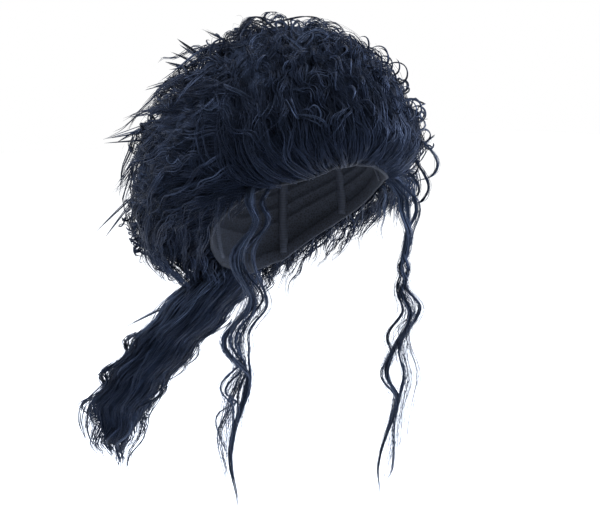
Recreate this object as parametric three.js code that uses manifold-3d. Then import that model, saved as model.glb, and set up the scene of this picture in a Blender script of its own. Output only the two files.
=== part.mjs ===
// Curly costume wig: a thin cap, hair swept back from the forehead in loose curls, a wavy ponytail at the
// nape and a long curly tendril at each temple.
// Millimetres, +Z up. The face looks along -Y and the wearer's left is +X.
// The origin is the inside of the cap at the crown, where the wig sits on the head.

import * as THREE from "three";
import { mergeVertices } from "three/addons/utils/BufferGeometryUtils.js";
import Module from "manifold-3d";

const wasm = await Module();
wasm.setup();

// The head that the wig fits: an ellipsoid of 550 mm round, whose top is the origin.
const HEAD_HALF_WIDTH = 77;
const HEAD_HALF_DEPTH = 97;
const HEAD_HALF_HEIGHT = 105;

// Cloth of the cap, the gap that sewn pieces keep to each other, and the wider one round a long lock's root.
const CAP_WALL = 2;
const SEAT_GAP = 0.3;
const PARTING_GAP = 0.45;

// Vertices closer than this are one.
const MERGE_WITHIN = 0.002;

// The cap's edge and the lower edge of the loose hair outside it, by the angle from the middle of the face.
// The two sides of the wig are alike.
const EDGES = [
  { angle: 0, cap: -45, hair: -41 },
  { angle: 20, cap: -47.5, hair: -43 },
  { angle: 35, cap: -55, hair: -50 },
  { angle: 50, cap: -60, hair: -58 },
  { angle: 65, cap: -64, hair: -73 },
  { angle: 80, cap: -74, hair: -92 },
  { angle: 100, cap: -95, hair: -112 },
  { angle: 125, cap: -120, hair: -144 },
  { angle: 150, cap: -146, hair: -164 },
  { angle: 180, cap: -158, hair: -168 },
];

// Outer form of the loose hair, as level ovals from the top down.
const HAIR_TOP = 92;
const OVALS = [
  { level: HAIR_TOP, halfWidth: 0, front: 28, back: 28 },
  { level: 82, halfWidth: 42, front: -22, back: 78 },
  { level: 66, halfWidth: 63, front: -50, back: 106 },
  { level: 48, halfWidth: 84, front: -71, back: 130 },
  { level: 30, halfWidth: 100, front: -85, back: 151 },
  { level: 10, halfWidth: 112, front: -97, back: 167 },
  { level: -10, halfWidth: 123, front: -106, back: 179 },
  { level: -35, halfWidth: 133, front: -110, back: 187 },
  { level: -62, halfWidth: 136, front: -104, back: 193 },
  { level: -82, halfWidth: 136, front: -90, back: 195 },
  { level: -100, halfWidth: 131, front: -78, back: 192 },
  { level: -118, halfWidth: 122, front: -66, back: 186 },
  { level: -136, halfWidth: 112, front: -54, back: 174 },
  { level: -152, halfWidth: 98, front: -42, back: 160 },
  { level: -168, halfWidth: 78, front: -30, back: 140 },
];

// Sections of the loose hair, by the angles between which each lies, in the order in which they are cut.
// "over" is how far a section's block runs past its ends, into neighbours that were cut before it. A share is
// of the way from the crown to the edge: "first" and "last" are those of the first and last row of roots, and
// "hang" how low tips reach. From its root a lock runs "turn" degrees round the head and "rise" shares up.
const CROWN_SHARE = 0.5;
const CROWN = {
  node: "crown_curls", from: 0, to: 360,
  across: 6, rows: 2, first: 0.09, last: 0.28, turn: 26, rise: -0.2,
};
const SECTIONS = [
  {
    node: "side_curls_right", from: -140, to: -60, over: 0, hang: 1.1,
    across: 3, rows: 3, first: 0.6, last: 0.95, turn: -32, rise: 0.03,
  },
  {
    node: "side_curls_left", from: 60, to: 140, over: 0, hang: 1.1,
    across: 3, rows: 3, first: 0.6, last: 0.95, turn: 32, rise: 0.03,
  },
  {
    node: "front_hair", from: -60, to: 60, over: 10, hang: 1,
    across: 5, rows: 2, first: 0.94, last: 0.74, turn: 0, rise: 0.36,
  },
  {
    node: "back_curls", from: 140, to: 220, over: 10, hang: 1.1,
    across: 4, rows: 2, first: 0.52, last: 0.78, turn: 6, rise: -0.27,
  },
];
const SHARE_OVER = 0.1;
const SEAM_ANGLE = 0.3;
const SEAM_SHARE = 0.003;

// A lock of the loose hair, and how deep in the hair its root and tip lie, 0 on the head and 1 outside.
const LOCK = { root: 10, middle: 13, tip: 2, widest: 0.4, swing: 8, lift: 4, waves: 1.25 };
const LOCK_SIDES = 5;
const LOCK_STEPS = 6;
const LOCK_DEPTH = { root: 0.72, tip: 0.94 };
const BACKING_DEPTH = 0.75;
const CELL_DEPTH = 1.6;
const INNER_DEPTH = -0.1;
const HAIR_MIDDLE = new THREE.Vector3(0, 35, -40);
const NEAREST_CROWN = 0.03;
const NEARBY = 0.02;
const SCATTER = { column: 0.2, row: 0.25, length: 0.8 };
const ROOT_COLUMN = { even: 0.25, odd: 0.75 };

// Facets of the cap, of the room that the hair leaves for it, and of the blocks of hair.
const CAP_COLUMNS = 24;
const CAP_BANDS = 7;
const ROOM_BANDS = 14;
const COLUMN_ANGLE = 20;
const BLOCK_BANDS = 3;

// Ponytail: its core as flat ovals from the nape down, and the wavy locks that wrap it.
const TAIL = [
  { level: -136, x: 0, y: 98, wide: 20, thick: 9 },
  { level: -154, x: -4, y: 106, wide: 36, thick: 18 },
  { level: -180, x: -20, y: 118, wide: 40, thick: 24 },
  { level: -235, x: -58, y: 153, wide: 38, thick: 26 },
  { level: -286, x: -85, y: 179, wide: 34, thick: 24 },
  { level: -328, x: -91, y: 186, wide: 25, thick: 18 },
  { level: -354, x: -91, y: 187, wide: 11, thick: 8 },
];
const TAIL_LOCKS = { count: 6, radius: 10, tip: 1.2, swing: 6, wave: 62, gather: 0.4, overhang: 15 };
const TAIL_SIDES = 5;
const TAIL_STEPS = 10;

// Tendrils: where each one hangs, from the temple down, and the curly locks that twine round that line.
const TENDRILS = [
  {
    node: "tendril_right",
    hang: [
      { level: -57, x: -68, y: -36 },
      { level: -78, x: -86, y: -40 },
      { level: -110, x: -88, y: -41 },
      { level: -160, x: -88, y: -36 },
      { level: -240, x: -91, y: -23 },
      { level: -337, x: -90, y: -20 },
    ],
    locks: [
      { radius: 3.6, swing: 12, pitch: 69, phase: 134, forward: 0, reach: 1 },
      { radius: 2.6, swing: 11, pitch: 71, phase: 120, forward: 14, reach: 0.93 },
      { radius: 2.2, swing: 12, pitch: 80, phase: -40, forward: 2, reach: 0.88 },
    ],
  },
  {
    node: "tendril_left",
    hang: [
      { level: -58, x: 68, y: -36 },
      { level: -80, x: 85, y: -45 },
      { level: -150, x: 87, y: -45 },
      { level: -200, x: 87, y: -40 },
      { level: -270, x: 87, y: -25 },
      { level: -354, x: 85, y: -10 },
    ],
    locks: [
      { radius: 3.6, swing: 9, pitch: 73, phase: 33, forward: 0, reach: 1 },
      { radius: 2.6, swing: 11, pitch: 66, phase: 110, forward: 4, reach: 0.96 },
      { radius: 2.2, swing: 12, pitch: 84, phase: 250, forward: 0, reach: 0.88 },
    ],
  },
];
const TENDRIL = { sides: 4, steps: 18, tip: 0.8, open: 0.15, close: 0.8 };

const HAIR_COLOUR = 0x1d232e;
const HAIR_ROUGHNESS = 0.45;
const CAP_COLOUR = 0x14171d;
const CAP_ROUGHNESS = 0.9;
const rad = THREE.MathUtils.degToRad;
const lerp = THREE.MathUtils.lerp;

// Value of a named column of a table at a place between its rows.
function readTable(table, key, at, column) {
  const rising = table[table.length - 1][key] > table[0][key];
  const last = table.findIndex((row) => (rising ? row[key] >= at : row[key] <= at));
  if (last === 0) return table[0][column];
  if (last < 0) return table[table.length - 1][column];
  const before = table[last - 1];
  const share = (at - before[key]) / (table[last][key] - before[key]);
  return lerp(before[column], table[last][column], share);
}

// Angle from the face folded to one side, 0 in front and 180 behind.
function sideAngle(angle) {
  const turned = ((angle % 360) + 360) % 360;
  return turned > 180 ? 360 - turned : turned;
}

// Place on the head, grown outwards, for an angle round it and a share of the way from the crown to the edge.
function onHead(angle, share, grow) {
  const edge = readTable(EDGES, "angle", sideAngle(angle), "cap");
  const polar = share * Math.acos(1 + edge / HEAD_HALF_HEIGHT);
  return new THREE.Vector3(
    (HEAD_HALF_WIDTH + grow) * Math.sin(polar) * Math.sin(rad(angle)),
    -(HEAD_HALF_DEPTH + grow) * Math.sin(polar) * Math.cos(rad(angle)),
    (HEAD_HALF_HEIGHT + grow) * Math.cos(polar) - HEAD_HALF_HEIGHT,
  );
}

// Place on the outside of the loose hair. The ovals are read by the root of the drop, even over the top.
const OVALS_BY_DROP = OVALS.map((oval) => ({ ...oval, drop: Math.sqrt(HAIR_TOP - oval.level) }));
function onHair(angle, share) {
  const edge = readTable(EDGES, "angle", sideAngle(angle), "hair");
  const level = edge + (HAIR_TOP - edge) * Math.cos((share * Math.PI) / 2);
  const drop = Math.sqrt(Math.max(HAIR_TOP - level, 0));
  const halfWidth = readTable(OVALS_BY_DROP, "drop", drop, "halfWidth");
  const front = readTable(OVALS_BY_DROP, "drop", drop, "front");
  const back = readTable(OVALS_BY_DROP, "drop", drop, "back");
  const middle = (front + back) / 2;
  return new THREE.Vector3(
    halfWidth * Math.sin(rad(angle)),
    middle - ((back - front) / 2) * Math.cos(rad(angle)),
    level,
  );
}

// Place inside the loose hair, at a share of the way from the head out to its outer form.
function inHair(angle, share, depth) {
  return onHead(angle, share, 0).lerp(onHair(angle, share), depth);
}

// Solid of a closed geometry, turned so that its faces point out.
function solidOf(geometry) {
  geometry.deleteAttribute("normal");
  geometry.deleteAttribute("uv");
  const merged = mergeVertices(geometry, MERGE_WITHIN);
  const index = Array.from(merged.index.array);
  const place = merged.attributes.position;
  const corner = (i) => new THREE.Vector3().fromBufferAttribute(place, i);
  const kept = [];
  let volume = 0;
  for (let i = 0; i < index.length; i += 3) {
    const [a, b, c] = index.slice(i, i + 3);
    if (a === b || b === c || c === a) continue;
    kept.push(a, b, c);
    volume += corner(a).dot(corner(b).cross(corner(c)));
  }
  if (volume < 0) kept.reverse();
  return new wasm.Manifold(
    new wasm.Mesh({
      numProp: 3,
      vertProperties: Float32Array.from(place.array),
      triVerts: Uint32Array.from(kept),
    }),
  );
}

// A geometry with each vertex moved to where a function of its old place puts it.
function moved(geometry, placeOf) {
  const place = geometry.attributes.position;
  for (let i = 0; i < place.count; i += 1) {
    const point = placeOf(new THREE.Vector3().fromBufferAttribute(place, i));
    place.setXYZ(i, point.x, point.y, point.z);
  }
  return geometry;
}

// Closed skin through rings of equally many points: a capped cylinder whose rings are moved there.
function loft(rings) {
  const columns = rings[0].length;
  const bands = rings.length - 1;
  const middles = rings.map((ring) =>
    ring.reduce((sum, point) => sum.add(point), new THREE.Vector3()).divideScalar(columns),
  );
  const skin = moved(new THREE.CylinderGeometry(1, 1, bands, columns, bands), ({ x, y, z }) => {
    const band = Math.round(bands / 2 - y);
    const column = Math.round((Math.atan2(x, z) / (2 * Math.PI)) * columns);
    return Math.hypot(x, z) < 0.5 ? middles[band] : rings[band][(column + columns) % columns];
  });
  return solidOf(skin);
}

// Tube along a curve whose radius changes along it.
function taperedTube(curve, radiusAt, sides, steps) {
  const frames = curve.computeFrenetFrames(steps, false);
  const rings = evenSteps(0, 1, steps).map((t, step) => {
    const ring = new THREE.CircleGeometry(radiusAt(t), sides).attributes.position;
    return Array.from({ length: sides }, (_, i) =>
      curve
        .getPointAt(t)
        .addScaledVector(frames.normals[step], ring.getX(i + 1))
        .addScaledVector(frames.binormals[step], ring.getY(i + 1)),
    );
  });
  return loft(rings);
}

// Evenly spaced values from one number to another, both included.
function evenSteps(from, to, steps) {
  return Array.from({ length: steps + 1 }, (_, i) => lerp(from, to, i / steps));
}

// Block of hair over a patch of the head, from under the cap out to a share of the outer form: a box whose
// width runs round the head, whose depth runs down it and whose height runs outwards.
function hairBlock(section, over, low, depth) {
  const columns = Math.round((section.to - section.from + 2 * over) / COLUMN_ANGLE);
  const angles = evenSteps(section.from - over, section.to + over, columns);
  const shares = evenSteps(CROWN_SHARE - SHARE_OVER, low, BLOCK_BANDS);
  const block = new THREE.BoxGeometry(columns, 1, BLOCK_BANDS, columns, 1, BLOCK_BANDS);
  return solidOf(
    moved(block, ({ x, y, z }) => {
      const angle = angles[Math.round(x + columns / 2)];
      const share = shares[Math.round(z + BLOCK_BANDS / 2)];
      return inHair(angle, share, y > 0 ? depth : INNER_DEPTH);
    }),
  );
}

// Round block of hair on top of the head.
function crownBlock(low, depth) {
  const angles = evenSteps(0, 360 - COLUMN_ANGLE, 360 / COLUMN_ANGLE - 1);
  const ring = (share, at) => angles.map((angle) => inHair(angle, share, at));
  const shares = evenSteps(0, low, BLOCK_BANDS);
  const outside = shares.map((share) => ring(share, depth));
  const inside = shares.toReversed().map((share) => ring(share, INNER_DEPTH));
  return loft([...outside, ...inside]);
}

// Geometry of a finished solid.
function geometryOf(solid) {
  const mesh = solid.getMesh();
  const geometry = new THREE.BufferGeometry();
  geometry.setAttribute("position", new THREE.BufferAttribute(Float32Array.from(mesh.vertProperties), 3));
  geometry.setIndex(Array.from(mesh.triVerts));
  return geometry;
}

// Largest body of a solid. Cuts leave crumbs and thin links, which come off once close vertices are merged.
function largestBody(solid) {
  return solid.decompose().reduce((best, body) => (body.volume() > best.volume() ? body : best));
}
function mainBody(solid) {
  return largestBody(solidOf(geometryOf(largestBody(solid))));
}

// Repeatable scatter between -1 and 1 for the n-th lock.
function scatter(n) {
  return 2 * THREE.MathUtils.seededRandom(n) - 1;
}

// Curve of one lock: it leaves its root inside the hair, runs round the head and waves to both sides.
function lockCurve(section, root, n) {
  const base = (t) => {
    const share = Math.max(root.share - section.rise * t, NEAREST_CROWN);
    return inHair(root.angle + section.turn * t, share, lerp(LOCK_DEPTH.root, LOCK_DEPTH.tip, Math.sqrt(t)));
  };
  const points = evenSteps(0, 1, LOCK_STEPS).map((t) => {
    const before = base(Math.max(t - NEARBY, 0));
    const along = base(Math.min(t + NEARBY, 1)).sub(before).normalize();
    const out = base(t).sub(HAIR_MIDDLE).normalize();
    const across = along.cross(out).normalize();
    const wave = 2 * Math.PI * LOCK.waves * t + n;
    return base(t)
      .addScaledVector(across, LOCK.swing * Math.sin(wave))
      .addScaledVector(out, LOCK.lift * Math.cos(wave));
  });
  return new THREE.CatmullRomCurve3(points);
}

function lockRadius(t) {
  if (t < LOCK.widest) return lerp(LOCK.root, LOCK.middle, t / LOCK.widest);
  return lerp(LOCK.middle, LOCK.tip, (t - LOCK.widest) / (1 - LOCK.widest));
}

// One section of loose hair: a thick backing with its locks fused on, cut to the section's own room.
// Roots in one row lie between those in the row before it.
function hairSection(section, backing, cell) {
  let solid = backing;
  for (let row = 0; row < section.rows; row += 1) {
    for (let i = 0; i < section.across; i += 1) {
      const n = row * section.across + i + Math.abs(section.from);
      const column = i + (row % 2 ? ROOT_COLUMN.odd : ROOT_COLUMN.even) + SCATTER.column * scatter(n);
      const climb = row + SCATTER.row * scatter(n + section.rows);
      const root = {
        angle: lerp(section.from, section.to, column / section.across),
        share: lerp(section.first, section.last, climb / (section.rows - 1)),
      };
      solid = solid.add(taperedTube(lockCurve(section, root, n), lockRadius, LOCK_SIDES, LOCK_STEPS));
    }
  }
  return solid.intersect(cell).subtract(headRoom);
}

const group = new THREE.Group();
function addMesh(name, solid, colour, roughness) {
  const geometry = geometryOf(mainBody(solid));
  geometry.computeVertexNormals();
  const material = new THREE.MeshStandardMaterial({ color: colour, roughness, metalness: 0 });
  const part = new THREE.Mesh(geometry, material);
  part.name = name;
  group.add(part);
}

// Cap: a cloth dome, open below, from its outer crown to its edge and back up inside.
function capRing(share, grow) {
  return Array.from({ length: CAP_COLUMNS }, (_, i) => onHead((i / CAP_COLUMNS) * 360, share, grow));
}
const capShares = evenSteps(0, 1, CAP_BANDS);
const capRings = [
  ...capShares.map((share) => capRing(share, CAP_WALL)),
  ...capShares.toReversed().map((share) => capRing(share, 0)),
];
addMesh("wig_cap", loft(capRings), CAP_COLOUR, CAP_ROUGHNESS);

// Room that the hair leaves for the cap: the whole head with the cap on, its flat facets outside the cap's.
const roomGrow = CAP_WALL + SEAT_GAP + HEAD_HALF_HEIGHT * (1 - Math.cos(Math.PI / ROOM_BANDS / 2));
const roomRings = Array.from({ length: ROOM_BANDS + 1 }, (_, b) =>
  Array.from({ length: CAP_COLUMNS }, (_, i) => {
    const polar = (b / ROOM_BANDS) * Math.PI;
    const angle = (i / CAP_COLUMNS) * 2 * Math.PI;
    return new THREE.Vector3(
      (HEAD_HALF_WIDTH + roomGrow) * Math.sin(polar) * Math.sin(angle),
      -(HEAD_HALF_DEPTH + roomGrow) * Math.sin(polar) * Math.cos(angle),
      (HEAD_HALF_HEIGHT + roomGrow) * Math.cos(polar) - HEAD_HALF_HEIGHT,
    );
  }),
);
const headRoom = loft(roomRings);

// Ponytail: a core of flat ovals and the wavy locks round it. "grow" swells it to make room for it elsewhere.
function tailPlace(level, around, out, grow) {
  const read = (column) => readTable(TAIL, "level", level, column);
  return new THREE.Vector3(
    read("x") + (read("wide") * out + grow) * Math.cos(around),
    read("y") + (read("thick") * out + grow) * Math.sin(around),
    level,
  );
}
function ponytail(grow) {
  const { count, radius, tip, swing, wave, gather, overhang } = TAIL_LOCKS;
  const circle = evenSteps(0, 2 * Math.PI, count).slice(1);
  const rings = TAIL.map(({ level }) => circle.map((around) => tailPlace(level, around, 1, grow)));
  for (const point of rings[0]) point.z += grow;
  let solid = loft(rings);
  const top = TAIL[1].level;
  const core = TAIL[TAIL.length - 1].level;
  circle.forEach((around, n) => {
    const bottom = core - overhang * (1 + SCATTER.length * scatter(n));
    const points = evenSteps(top, bottom, TAIL_STEPS).map((level) => {
      const turn = (2 * Math.PI * level) / wave + 2 * n;
      const place = tailPlace(level, around + Math.PI / count, level === top ? gather : 1, 0);
      return place.add(new THREE.Vector3(swing * Math.sin(turn), swing * Math.cos(turn), 0));
    });
    const radiusAt = (t) => grow + lerp(radius, tip, t ** 2);
    solid = solid.add(taperedTube(new THREE.CatmullRomCurve3(points), radiusAt, TAIL_SIDES, TAIL_STEPS));
  });
  return solid;
}

// Tendril: curly locks that leave one root at the temple and twine round the line that they hang along.
function tendril(rows, locks, grow) {
  const { sides, steps, tip, open, close } = TENDRIL;
  const root = new THREE.Vector3(rows[0].x, rows[0].y, rows[0].level);
  const bottom = rows[rows.length - 1].level;
  let solid = null;
  for (const lock of locks) {
    const points = evenSteps(0, lock.reach, steps).map((t) => {
      const level = lerp(root.z, bottom, t);
      const turn = (2 * Math.PI * (root.z - level)) / lock.pitch + rad(lock.phase);
      const swing = lock.swing * THREE.MathUtils.smoothstep(t, 0, open) * (1 - close * t ** 4);
      return new THREE.Vector3(
        readTable(rows, "level", level, "x") + swing * Math.cos(turn),
        readTable(rows, "level", level, "y") + swing * Math.sin(turn) - lock.forward * (1 - t),
        level,
      );
    });
    points[0].copy(root).addScaledVector(points[1].clone().sub(root).normalize(), -grow);
    const radiusAt = (t) => grow + lerp(lock.radius, tip, t ** 3);
    const tube = taperedTube(new THREE.CatmullRomCurve3(points), radiusAt, sides, steps);
    solid = solid ? solid.add(tube) : tube;
  }
  return solid;
}

addMesh("ponytail", ponytail(0).subtract(headRoom), HAIR_COLOUR, HAIR_ROUGHNESS);
let longHair = ponytail(PARTING_GAP);
for (const { node, hang, locks } of TENDRILS) {
  addMesh(node, tendril(hang, locks, 0).subtract(headRoom), HAIR_COLOUR, HAIR_ROUGHNESS);
  longHair = longHair.add(tendril(hang, locks, PARTING_GAP));
}

// Loose hair round the head, parted where the long locks come out of it and where one section meets the next.
const crownCell = crownBlock(CROWN_SHARE, CELL_DEPTH);
const crown = hairSection(CROWN, crownBlock(CROWN_SHARE, BACKING_DEPTH), crownCell);
addMesh(CROWN.node, crown, HAIR_COLOUR, HAIR_ROUGHNESS);
let taken = longHair.add(crownBlock(CROWN_SHARE + SEAM_SHARE, CELL_DEPTH));
for (const section of SECTIONS) {
  const backing = hairBlock(section, section.over, 1, BACKING_DEPTH);
  const cell = hairBlock(section, section.over, section.hang, CELL_DEPTH);
  addMesh(section.node, hairSection(section, backing, cell).subtract(taken), HAIR_COLOUR, HAIR_ROUGHNESS);
  taken = taken.add(hairBlock(section, SEAM_ANGLE, section.hang, CELL_DEPTH));
}

export default group;
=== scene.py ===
import math

import bpy
import numpy as np
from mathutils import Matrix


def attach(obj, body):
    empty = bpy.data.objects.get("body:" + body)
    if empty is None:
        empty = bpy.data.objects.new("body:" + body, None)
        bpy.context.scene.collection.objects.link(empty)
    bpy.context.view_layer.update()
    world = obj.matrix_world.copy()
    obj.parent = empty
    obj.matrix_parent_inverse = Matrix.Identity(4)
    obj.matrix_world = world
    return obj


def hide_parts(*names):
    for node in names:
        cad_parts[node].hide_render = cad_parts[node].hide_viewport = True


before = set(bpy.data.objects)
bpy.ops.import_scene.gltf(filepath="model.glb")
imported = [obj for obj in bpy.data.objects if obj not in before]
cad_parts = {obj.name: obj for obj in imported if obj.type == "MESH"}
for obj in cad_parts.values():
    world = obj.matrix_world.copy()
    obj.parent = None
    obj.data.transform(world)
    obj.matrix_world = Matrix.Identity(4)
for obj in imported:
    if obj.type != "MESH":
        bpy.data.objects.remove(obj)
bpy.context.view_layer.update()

# Cap: the stretch dome that carries all the hair. It is knitted from fine black polyester, with rows of
# wefts sewn round it and its edge turned under. Sizes are in millimetres from the crown inside it, and a
# share runs from 0 there to 1 at the edge.
CAP_HALF = {"width": 77.0, "depth": 97.0, "height": 105.0}
CAP_WALL = 2.0
CAP_COLUMNS = 240
CAP_OUTSIDE_ROWS = 7
CAP_TOP = 0.004
HEM = {"width": 13.0, "height": 0.9, "edge": 1.2}
WEFT = {"rows": 12, "first": 0.82, "last": 0.1, "half_width": 2.2, "flat": 0.55, "height": 1.0}
STITCH = {"count": 80, "dip": 0.25}
CAP_CLOTH = "#0b0d12"
CAP_THREAD = "#1d212a"
NET_SPACING = 2.4
EDGES = np.array(
    [
        (0, -45, -41),
        (20, -47.5, -43),
        (35, -55, -50),
        (50, -60, -58),
        (65, -64, -73),
        (80, -74, -92),
        (100, -95, -112),
        (125, -120, -144),
        (150, -146, -164),
        (180, -158, -168),
    ],
    dtype=[("angle", float), ("cap", float), ("hair", float)],
)


def edge_level(angle, column):
    """Level of an edge at an angle from the middle of the front. The two sides are alike."""
    side = np.abs((np.asarray(angle, float) + 180) % 360 - 180)
    return np.interp(side, EDGES["angle"], EDGES[column])


def on_cap(angle, share, grow=0.0):
    """Place at an angle round the cap and a share of the way down it, on its inside or grown from that."""
    polar = share * np.arccos(1 + edge_level(angle, "cap") / CAP_HALF["height"])
    turn = np.radians(angle)
    x = (CAP_HALF["width"] + grow) * np.sin(polar) * np.sin(turn)
    y = -(CAP_HALF["depth"] + grow) * np.sin(polar) * np.cos(turn)
    z = (CAP_HALF["height"] + grow) * np.cos(polar) - CAP_HALF["height"]
    return np.stack(np.broadcast_arrays(x, y, z), axis=-1)


def linear(hex_colour):
    """Linear colour of an sRGB hex value."""
    channels = [int(hex_colour[i : i + 2], 16) / 255 for i in (1, 3, 5)]
    return [c / 12.92 if c <= 0.04045 else ((c + 0.055) / 1.055) ** 2.4 for c in channels] + [1.0]


def add_node(tree, kind, settings=None, **links):
    """Adds a node, sets its properties or sockets by name, and links sockets from other nodes' outputs."""
    node = tree.nodes.new(kind)
    for key, value in (settings or {}).items():
        if hasattr(node, key) and key not in node.inputs:
            setattr(node, key, value)
        else:
            node.inputs[key].default_value = value
    for key, output in links.items():
        tree.links.new(output, node.inputs[key.replace("_", " ")])
    return node


def new_material(name):
    """An empty node material, and its tree."""
    material = bpy.data.materials.new(name)
    material.use_nodes = True
    material.node_tree.nodes.clear()
    return material, material.node_tree


def mesh_object(name, points_mm, faces, material, tones=None):
    """A smooth mesh in metres from points in millimetres, with faces given as arrays of equal sides."""
    mesh = bpy.data.meshes.new(name)
    corners = np.concatenate([f.ravel() for f in faces]).astype(np.int32)
    sides = np.concatenate([np.full(len(f), f.shape[1]) for f in faces])
    starts = np.concatenate([[0], np.cumsum(sides)[:-1]]).astype(np.int32)
    mesh.vertices.add(len(points_mm))
    mesh.vertices.foreach_set("co", (points_mm / 1000).astype(np.float32).ravel())
    mesh.loops.add(len(corners))
    mesh.loops.foreach_set("vertex_index", corners)
    mesh.polygons.add(len(sides))
    mesh.polygons.foreach_set("loop_start", starts)
    mesh.polygons.foreach_set("use_smooth", np.ones(len(sides), bool))
    if tones is not None:
        mesh.attributes.new("tone", "FLOAT", "POINT").data.foreach_set("value", tones.astype(np.float32))
    mesh.update(calc_edges=True)
    mesh.validate()
    mesh.materials.append(material)
    piece = bpy.data.objects.new(name, mesh)
    bpy.context.scene.collection.objects.link(piece)
    return piece


def dress(piece, slot, *nodes):
    """Fixes a piece to the wig in place of its plain solids."""
    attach(piece, "root")
    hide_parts(*nodes)


def ring_faces(rings, columns):
    """Quads of a skin through closed rings, wound so that rings going down face out."""
    row, column = np.meshgrid(np.arange(rings - 1), np.arange(columns), indexing="ij")
    after = (column + 1) % columns
    quads = [row * columns + column, (row + 1) * columns + column, (row + 1) * columns + after]
    return np.stack(quads + [row * columns + after], axis=-1).reshape(-1, 4)


# Knitted polyester, matt and a little fuzzy: the eye gets a dark open net with pale thread tops.
# Its mesh of about 1 mm is drawn at 2.4 mm so that it shows.
cap_cloth, tree = new_material("knitted_polyester_net")
place = add_node(tree, "ShaderNodeTexCoord").outputs["Object"]
net = add_node(
    tree, "ShaderNodeTexVoronoi",
    {"feature": "DISTANCE_TO_EDGE", "Scale": 1000 / NET_SPACING}, Vector=place,
).outputs["Distance"]
cloth_colour = add_node(tree, "ShaderNodeValToRGB", Fac=net)
cloth_colour.color_ramp.elements[0].color = linear(CAP_THREAD)
cloth_colour.color_ramp.elements[1].color = linear(CAP_CLOTH)
cloth_colour.color_ramp.elements[1].position = 0.25
cloth_bump = add_node(
    tree, "ShaderNodeBump", {"Strength": 0.6, "Distance": 0.0006, "invert": True}, Height=net
)
cloth_shader = add_node(
    tree, "ShaderNodeBsdfPrincipled",
    {"Roughness": 0.85, "IOR": 1.5, "Specular IOR Level": 0.25},
    Base_Color=cloth_colour.outputs["Color"], Normal=cloth_bump.outputs["Normal"],
)
add_node(tree, "ShaderNodeOutputMaterial", Surface=cloth_shader.outputs["BSDF"])

cap_angles = np.arange(CAP_COLUMNS) * 360 / CAP_COLUMNS
cap_run = np.arccos(1 + edge_level(cap_angles, "cap") / CAP_HALF["height"]) * CAP_HALF["height"]
cap_rings = []
for share in np.linspace(CAP_TOP, 1, CAP_OUTSIDE_ROWS):
    cap_rings.append(on_cap(cap_angles, share, CAP_WALL))
hem_rise = (0, HEM["edge"] / 2, HEM["edge"])
for up in hem_rise + tuple(HEM["width"] - rise for rise in reversed(hem_rise)):
    inset = min(up, HEM["width"] - up, HEM["edge"]) / HEM["edge"]
    cap_rings.append(on_cap(cap_angles, 1 - up / cap_run, -HEM["height"] * math.sqrt(inset)))
stitch = 1 - STITCH["dip"] + STITCH["dip"] * np.cos(np.radians(cap_angles) * STITCH["count"])
for middle in np.linspace(WEFT["first"], WEFT["last"], WEFT["rows"]):
    for across in (1, WEFT["flat"], -WEFT["flat"], -1):
        height = WEFT["height"] * stitch * (abs(across) < 1)
        cap_rings.append(on_cap(cap_angles, middle + across * WEFT["half_width"] / cap_run, -height))
cap_rings.append(on_cap(cap_angles, CAP_TOP))
cap_faces = ring_faces(len(cap_rings), CAP_COLUMNS)
outer_top = np.arange(CAP_COLUMNS)[None, :]
inner_top = np.arange(CAP_COLUMNS)[None, ::-1] + (len(cap_rings) - 1) * CAP_COLUMNS
cap = mesh_object("cap", np.concatenate(cap_rings), [cap_faces, outer_top, inner_top], cap_cloth)
dress(cap, "cap_cloth", "wig_cap")

# Tapes: narrow woven polyester bands sewn upright inside the cap, which hold the rows of wefts at their
# distance. Each runs from the hem nearly to the crown.
TAPE_ANGLES = (-150, -110, -70, -28, 28, 70, 110, 150)
TAPE = {"half_width": 4.0, "back": 0.2, "height": 1.5, "low": 0.97, "high": 0.12, "rows": 36, "step": 0.01}
TAPE_CLOTH = "#12151c"
TAPE_RIB = "#262b36"
RIB_SPACING = 1.6

# Woven polyester tape: matt, with fine ribs across it that catch a little light. The ribs of about
# 0.8 mm are drawn at 1.6 mm so that they show.
tape_cloth, tree = new_material("woven_polyester_tape")
place = add_node(tree, "ShaderNodeTexCoord").outputs["Object"]
ribs = add_node(
    tree, "ShaderNodeTexWave",
    {"bands_direction": "Z", "Scale": math.pi / 10 * 1000 / RIB_SPACING, "Distortion": 0.6}, Vector=place,
).outputs["Fac"]
tape_colour = add_node(tree, "ShaderNodeValToRGB", Fac=ribs)
tape_colour.color_ramp.elements[0].color = linear(TAPE_CLOTH)
tape_colour.color_ramp.elements[1].color = linear(TAPE_RIB)
tape_bump = add_node(tree, "ShaderNodeBump", {"Strength": 0.5, "Distance": 0.0004}, Height=ribs)
tape_shader = add_node(
    tree, "ShaderNodeBsdfPrincipled",
    {"Roughness": 0.75, "IOR": 1.5, "Specular IOR Level": 0.3},
    Base_Color=tape_colour.outputs["Color"], Normal=tape_bump.outputs["Normal"],
)
add_node(tree, "ShaderNodeOutputMaterial", Surface=tape_shader.outputs["BSDF"])

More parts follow.
